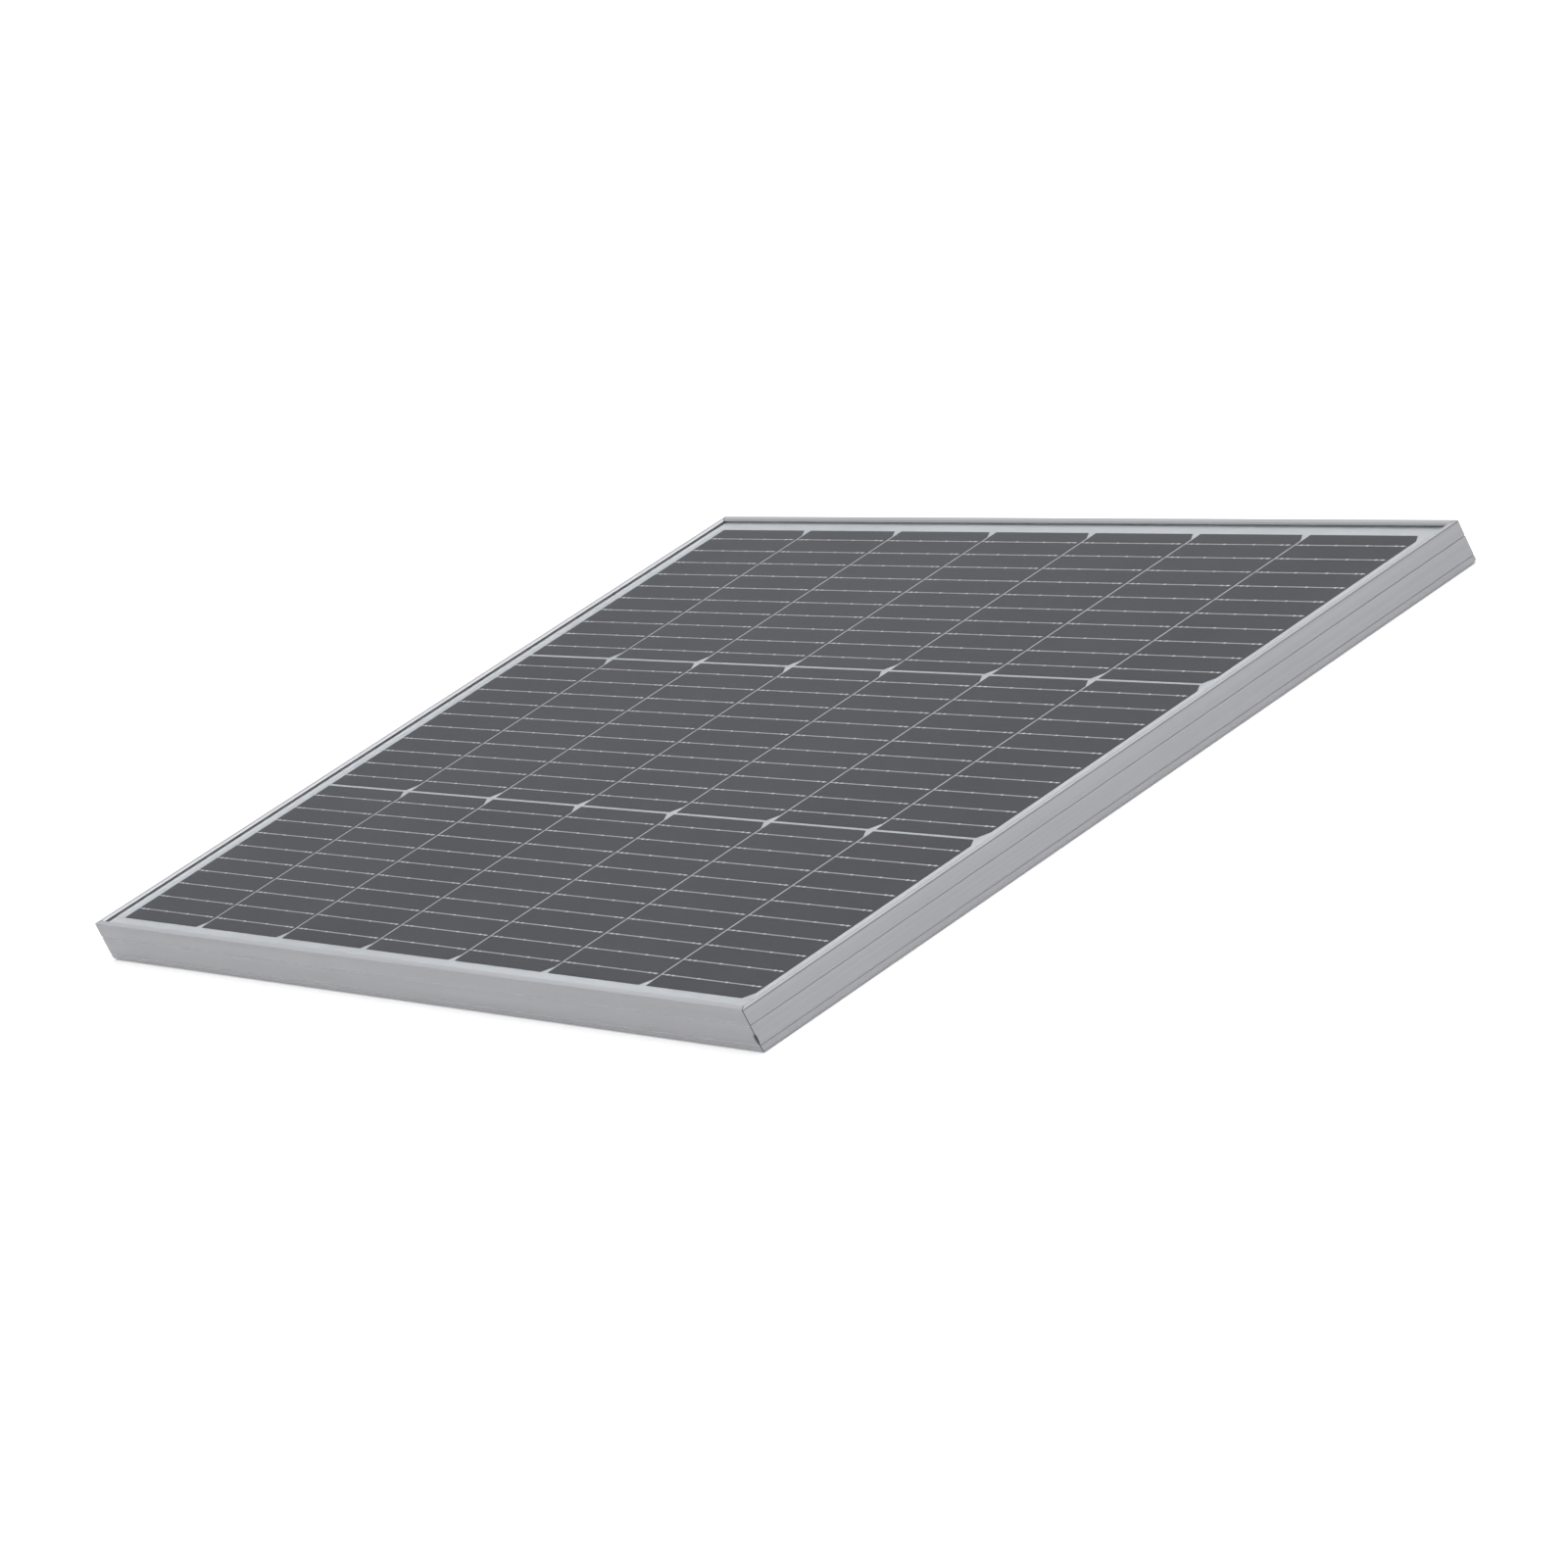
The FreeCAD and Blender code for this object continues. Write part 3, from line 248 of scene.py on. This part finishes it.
def cell_silicon():
    """Blue-black silicon with silver fingers across the ribbons. Its tone varies a little between cells."""
    finish = Finish("silicon_cell", (0.012, 0.013, 0.018), 0.38, specular=0.25)
    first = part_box("solar_cell_front_1")
    pitch_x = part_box("solar_cell_front_2")[0].x - first[0].x
    pitch_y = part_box("solar_cell_middle_1")[0].y - first[0].y
    apart = finish.node("ShaderNodeSeparateXYZ", {"Vector": finish.where})
    across = finish.calc("SUBTRACT", apart.outputs["X"], first[0].x)
    back = finish.calc("SUBTRACT", apart.outputs["Y"], first[0].y)
    column = finish.calc("FLOOR", finish.calc("DIVIDE", across, pitch_x))
    row = finish.calc("FLOOR", finish.calc("DIVIDE", back, pitch_y))
    place = finish.node("ShaderNodeCombineXYZ", {"X": column, "Y": row}).outputs["Vector"]
    own = finish.node("ShaderNodeTexWhiteNoise", {"Vector": place}, noise_dimensions="2D").outputs["Value"]
    finger_pitch, finger_share = 0.0013, 0.045
    step = finish.calc("FRACT", finish.calc("DIVIDE", apart.outputs["X"], finger_pitch))
    finger = finish.calc("LESS_THAN", step, finger_share)
    clouds = finish.noise(14.0, 4.0)
    tone = finish.calc("ADD", finish.calc("MULTIPLY", own, 0.6), finish.spread(clouds, 0.0, 0.4))
    silicon = finish.tint(tone, (0.008, 0.008, 0.011), (0.018, 0.018, 0.025))
    finish.drive("Base Color", finish.tint(finger, silicon, (0.10, 0.10, 0.105)))
    finish.drive("Roughness", finish.spread(clouds, 0.34, 0.42))
    finish.bump(finger, 0.00001, 0.4)
    return finish


def clear_glass():
    """Low-iron glass. Lamps shine through it, as through a real cover."""
    material = bpy.data.materials.new("solar_glass")
    material.use_nodes = True
    nodes, links = material.node_tree.nodes, material.node_tree.links
    nodes.remove(nodes["Principled BSDF"])
    glass = nodes.new("ShaderNodeBsdfGlass")
    glass.inputs["Color"].default_value = (0.985, 0.993, 0.99, 1)
    glass.inputs["Roughness"].default_value = 0.0
    glass.inputs["IOR"].default_value = 1.5
    clear = nodes.new("ShaderNodeBsdfTransparent")
    clear.inputs["Color"].default_value = (0.93, 0.935, 0.935, 1)
    rays = nodes.new("ShaderNodeLightPath")
    mix = nodes.new("ShaderNodeMixShader")
    links.new(rays.outputs["Is Shadow Ray"], mix.inputs[0])
    links.new(glass.outputs[0], mix.inputs[1])
    links.new(clear.outputs[0], mix.inputs[2])
    links.new(mix.outputs[0], nodes["Material Output"].inputs["Surface"])
    return material


def bonded_face():
    """The glass face that is bonded to the film under it, so nothing bends or reflects there."""
    material = bpy.data.materials.new("bonded_glass_face")
    material.use_nodes = True
    nodes, links = material.node_tree.nodes, material.node_tree.links
    nodes.remove(nodes["Principled BSDF"])
    clear = nodes.new("ShaderNodeBsdfTransparent")
    clear.inputs["Color"].default_value = (1, 1, 1, 1)
    links.new(clear.outputs[0], nodes["Material Output"].inputs["Surface"])
    return material


def paint(finish, *names):
    for name in names:
        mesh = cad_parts[name].data
        mesh.materials.clear()
        mesh.materials.append(finish.material)


paint(
    # Front and back rails: 0.9 is painted shade over their tone, and their grooves are painted light to hide
    # the shading in them.
    anodised("anodised_along_x", 0, 0.9, ((LOW_GROOVE, GROOVE_PAINTED_LIGHT), (HIGH_GROOVE, GROOVE_PAINTED_LIGHT))),
    "frame_rail_front",
    "frame_rail_back",
)
paint(
    anodised(
        "anodised_along_y",
        1,
        1.0,
        # Side rails: grooves painted dark as painted shade, and a painted shade line just under the top edge.
        ((LOW_GROOVE, GROOVE_PAINTED_SHADE), (HIGH_GROOVE, GROOVE_PAINTED_SHADE), (TOP_LINE, TOP_EDGE_PAINTED_SHADE)),
    ),
    "frame_rail_left",
    "frame_rail_right",
)
paint(
    brushed_metal("key_aluminium", 2, (0.4, 0.4, 0.41), (0.6, 0.6, 0.61), 0.5, 0.9),
    *[f"corner_key_{end}_{side}" for end in ("front", "back") for side in ("left", "right")],
)
paint(cell_silicon(), *[f"solar_cell_{row}_{column}" for row in ROWS for column in COLUMNS])
tinned = brushed_metal("tinned_copper", 0, (0.38, 0.38, 0.39), (0.55, 0.55, 0.56), 0.4, 0.6, fine=4000.0)
paint(
    tinned,
    *[f"cell_ribbons_{row}" for row in ROWS],
    "bus_strips_left",
    "bus_strips_right",
    "link_foil_middle_front",
    "link_foil_front_back",
    "lead_foil_negative",
    "lead_foil_positive",
)
white = white_sheet("white_backsheet", WHITE_DARK, WHITE_LIGHT, 0.6, 900.0)
film = white_sheet("white_film", WHITE_DARK, WHITE_LIGHT, 0.55, 1400.0)
paint(white, "backsheet")
paint(film, "bus_cover_left", "bus_cover_right", "foil_insulation")
sealant = moulded("edge_silicone", (0.18, 0.18, 0.185), (0.24, 0.24, 0.246), 0.5, 500.0, 0.00008)
paint(sealant, "edge_sealant")
adhesive = moulded("silicone_sealant", (0.5, 0.5, 0.5), (0.66, 0.66, 0.66), 0.5, 500.0, 0.00008)
paint(adhesive, "junction_adhesive")
plastic = moulded("box_plastic", (0.018, 0.018, 0.02), (0.032, 0.032, 0.035), 0.5)
paint(plastic, "junction_base", "junction_lid")
rubber = moulded("black_rubber", (0.012, 0.012, 0.012), (0.024, 0.024, 0.024), 0.7, 900.0, 0.00005, 0.3)
paint(rubber, "lid_gasket", *[f"gland_seal_{side}" for side in SIDES])
nylon = moulded("nut_nylon", (0.02, 0.02, 0.021), (0.035, 0.035, 0.037), 0.45, 1500.0)
paint(nylon, *[f"gland_nut_{side}" for side in SIDES])
paint(brushed_metal("pin_steel", 1, (0.45, 0.45, 0.46), (0.66, 0.66, 0.67), 0.3, 1.0), "lid_hinge_pin")
paint(
    brushed_metal("terminal_brass", 0, (0.55, 0.47, 0.3), (0.78, 0.68, 0.46), 0.35, 1.0),
    *[f"terminal_{side}" for side in SIDES],
)
paint(brushed_metal("screw_steel", 0, (0.5, 0.5, 0.51), (0.7, 0.7, 0.71), 0.32, 1.0), "terminal_screws")
paint(moulded("diode_epoxy", (0.016, 0.016, 0.016), (0.028, 0.028, 0.028), 0.4), "bypass_diode")


# ---------------------------------------------------------------- new pieces

def mesh_object(name, mesh, materials):
    data = bpy.data.meshes.new(name)
    mesh.to_mesh(data)
    mesh.free()
    made = bpy.data.objects.new(name, data)
    bpy.context.scene.collection.objects.link(made)
    for material in materials:
        data.materials.append(material)
    return made


def cover_glass():
    """The glass and the clear films as one slab from the glass top down to just above the ribbons."""
    low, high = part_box("glass_sheet")
    above_covers = 0.00005
    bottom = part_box("bus_cover_left")[1].z + above_covers
    edge = 0.0004
    slab = bmesh.new()
    bmesh.ops.create_cube(slab, size=1.0)
    size = Vector((high.x - low.x, high.y - low.y, high.z - bottom))
    centre = Vector(((low.x + high.x) / 2, (low.y + high.y) / 2, (high.z + bottom) / 2))
    for vertex in slab.verts:
        vertex.co = Vector(a * b for a, b in zip(vertex.co, size)) + centre
    top_edges = [e for e in slab.edges if all(v.co.z > centre.z for v in e.verts)]
    bmesh.ops.bevel(slab, geom=top_edges, offset=edge, segments=2, affect="EDGES")
    slab.faces.ensure_lookup_table()
    for face in slab.faces:
        face.material_index = 1 if face.normal.z < -0.9 else 0
    made = mesh_object("cover_glass", slab, [clear_glass(), bonded_face()])
    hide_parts("glass_sheet", "front_encapsulant", "rear_encapsulant")
    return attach(made, "panel")


def solder_dots(solder, ribbon_width):
    """Small solder pads on every ribbon: two near each end of a cell and two between."""
    from_right = [d * MM for d in (7.0, 14.0, 46.0, 81.0, 113.0, 120.0)]
    radius, height = 0.0009, 0.0001
    around = 8
    dots = bmesh.new()
    for row in ROWS:
        low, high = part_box(f"cell_ribbons_{row}")
        pitch = (high.y - low.y - ribbon_width) / (RIBBONS - 1)
        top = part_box("bus_cover_left")[0].z
        for column in COLUMNS:
            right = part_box(f"solar_cell_{row}_{column}")[1].x
            for k in range(RIBBONS):
                y = low.y + ribbon_width / 2 + pitch * k
                for distance in from_right:
                    centre = Vector((right - distance, y, top))
                    ring = [
                        dots.verts.new(centre + Vector((
                            radius * math.cos(2 * math.pi * n / around),
                            radius * math.sin(2 * math.pi * n / around),
                            0,
                        )))
                        for n in range(around)
                    ]
                    peak = dots.verts.new(centre + Vector((0, 0, height)))
                    for n in range(around):
                        dots.faces.new((ring[n], ring[(n + 1) % around], peak))
    made = mesh_object("solder_dots", dots, [solder])
    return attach(made, "panel")


solder = brushed_metal("solder", 0, (0.8, 0.8, 0.81), (0.92, 0.92, 0.93), 0.35, 0.2, fine=3000.0)
cover_glass()
solder_dots(solder.material, ribbon_width=0.8 * MM)


# ---------------------------------------------------------------- floor, light and camera

def floor():
    sheet = bmesh.new()
    bmesh.ops.create_grid(sheet, x_segments=1, y_segments=1, size=30.0)
    material = bpy.data.materials.new("pale_floor")
    material.use_nodes = True
    shader = material.node_tree.nodes["Principled BSDF"]
    shader.inputs["Base Color"].default_value = (0.9, 0.9, 0.9, 1)
    shader.inputs["Roughness"].default_value = 0.9
    shader.inputs["Specular IOR Level"].default_value = 0.0
    shader.inputs["Emission Color"].default_value = (1, 1, 1, 1)
    shader.inputs["Emission Strength"].default_value = 0.18
    made = mesh_object("floor", sheet, [material])
    made.location.z = rest_low.z - 0.0002


def soft_ceiling():
    """Even light from a wide patch overhead, so that the whole floor is equally bright."""
    lamp = bpy.data.lights.new("soft_ceiling", "SUN")
    lamp.energy = 3.1
    lamp.angle = math.radians(70)
    made = bpy.data.objects.new("soft_ceiling", lamp)
    bpy.context.scene.collection.objects.link(made)
    made.rotation_euler = (math.radians(1), math.radians(6), 0)


def soft_box(name, place, aim, size, power):
    lamp = bpy.data.lights.new(name, "AREA")
    lamp.shape = "SQUARE"
    lamp.size = size
    lamp.energy = power
    made = bpy.data.objects.new(name, lamp)
    bpy.context.scene.collection.objects.link(made)
    made.location = place
    made.rotation_mode = "QUATERNION"
    made.rotation_quaternion = (Vector(aim) - Vector(place)).to_track_quat("-Z", "Y")


def sky():
    """A plain studio surround, brighter towards +Y."""
    world = bpy.data.worlds.new("studio")
    bpy.context.scene.world = world
    world.use_nodes = True
    nodes, links = world.node_tree.nodes, world.node_tree.links
    where = nodes.new("ShaderNodeTexCoord")
    apart = nodes.new("ShaderNodeSeparateXYZ")
    level = nodes.new("ShaderNodeMapRange")
    level.inputs["From Min"].default_value = 0.1
    level.inputs["From Max"].default_value = 0.7
    level.inputs["To Min"].default_value = 0.21
    level.inputs["To Max"].default_value = 0.50
    links.new(where.outputs["Generated"], apart.inputs["Vector"])
    links.new(apart.outputs["Y"], level.inputs["Value"])
    nodes["Background"].inputs["Color"].default_value = (0.97, 0.98, 1.04, 1)
    links.new(level.outputs["Result"], nodes["Background"].inputs["Strength"])


def camera():
    place = Vector((3.9973, -1.8392, 1.2467))
    aim = Vector((0.1524, -0.0534, 0.03))
    roll = math.radians(26.495)
    data = bpy.data.cameras.new("camera")
    data.sensor_width = 36.0
    data.lens = 158.88
    data.clip_start = 0.1
    data.clip_end = 200.0
    made = bpy.data.objects.new("camera", data)
    bpy.context.scene.collection.objects.link(made)
    made.location = place
    made.rotation_mode = "QUATERNION"
    made.rotation_quaternion = (aim - place).to_track_quat("-Z", "Y") @ Quaternion((0, 0, 1), -roll)
    bpy.context.scene.camera = made


floor()
sky()
soft_ceiling()
soft_box("right_fill", (3.8, -0.2, 1.0), (0, 0, 0), 2.0, 4.0)
camera()
bpy.context.scene.view_settings.view_transform = "Standard"
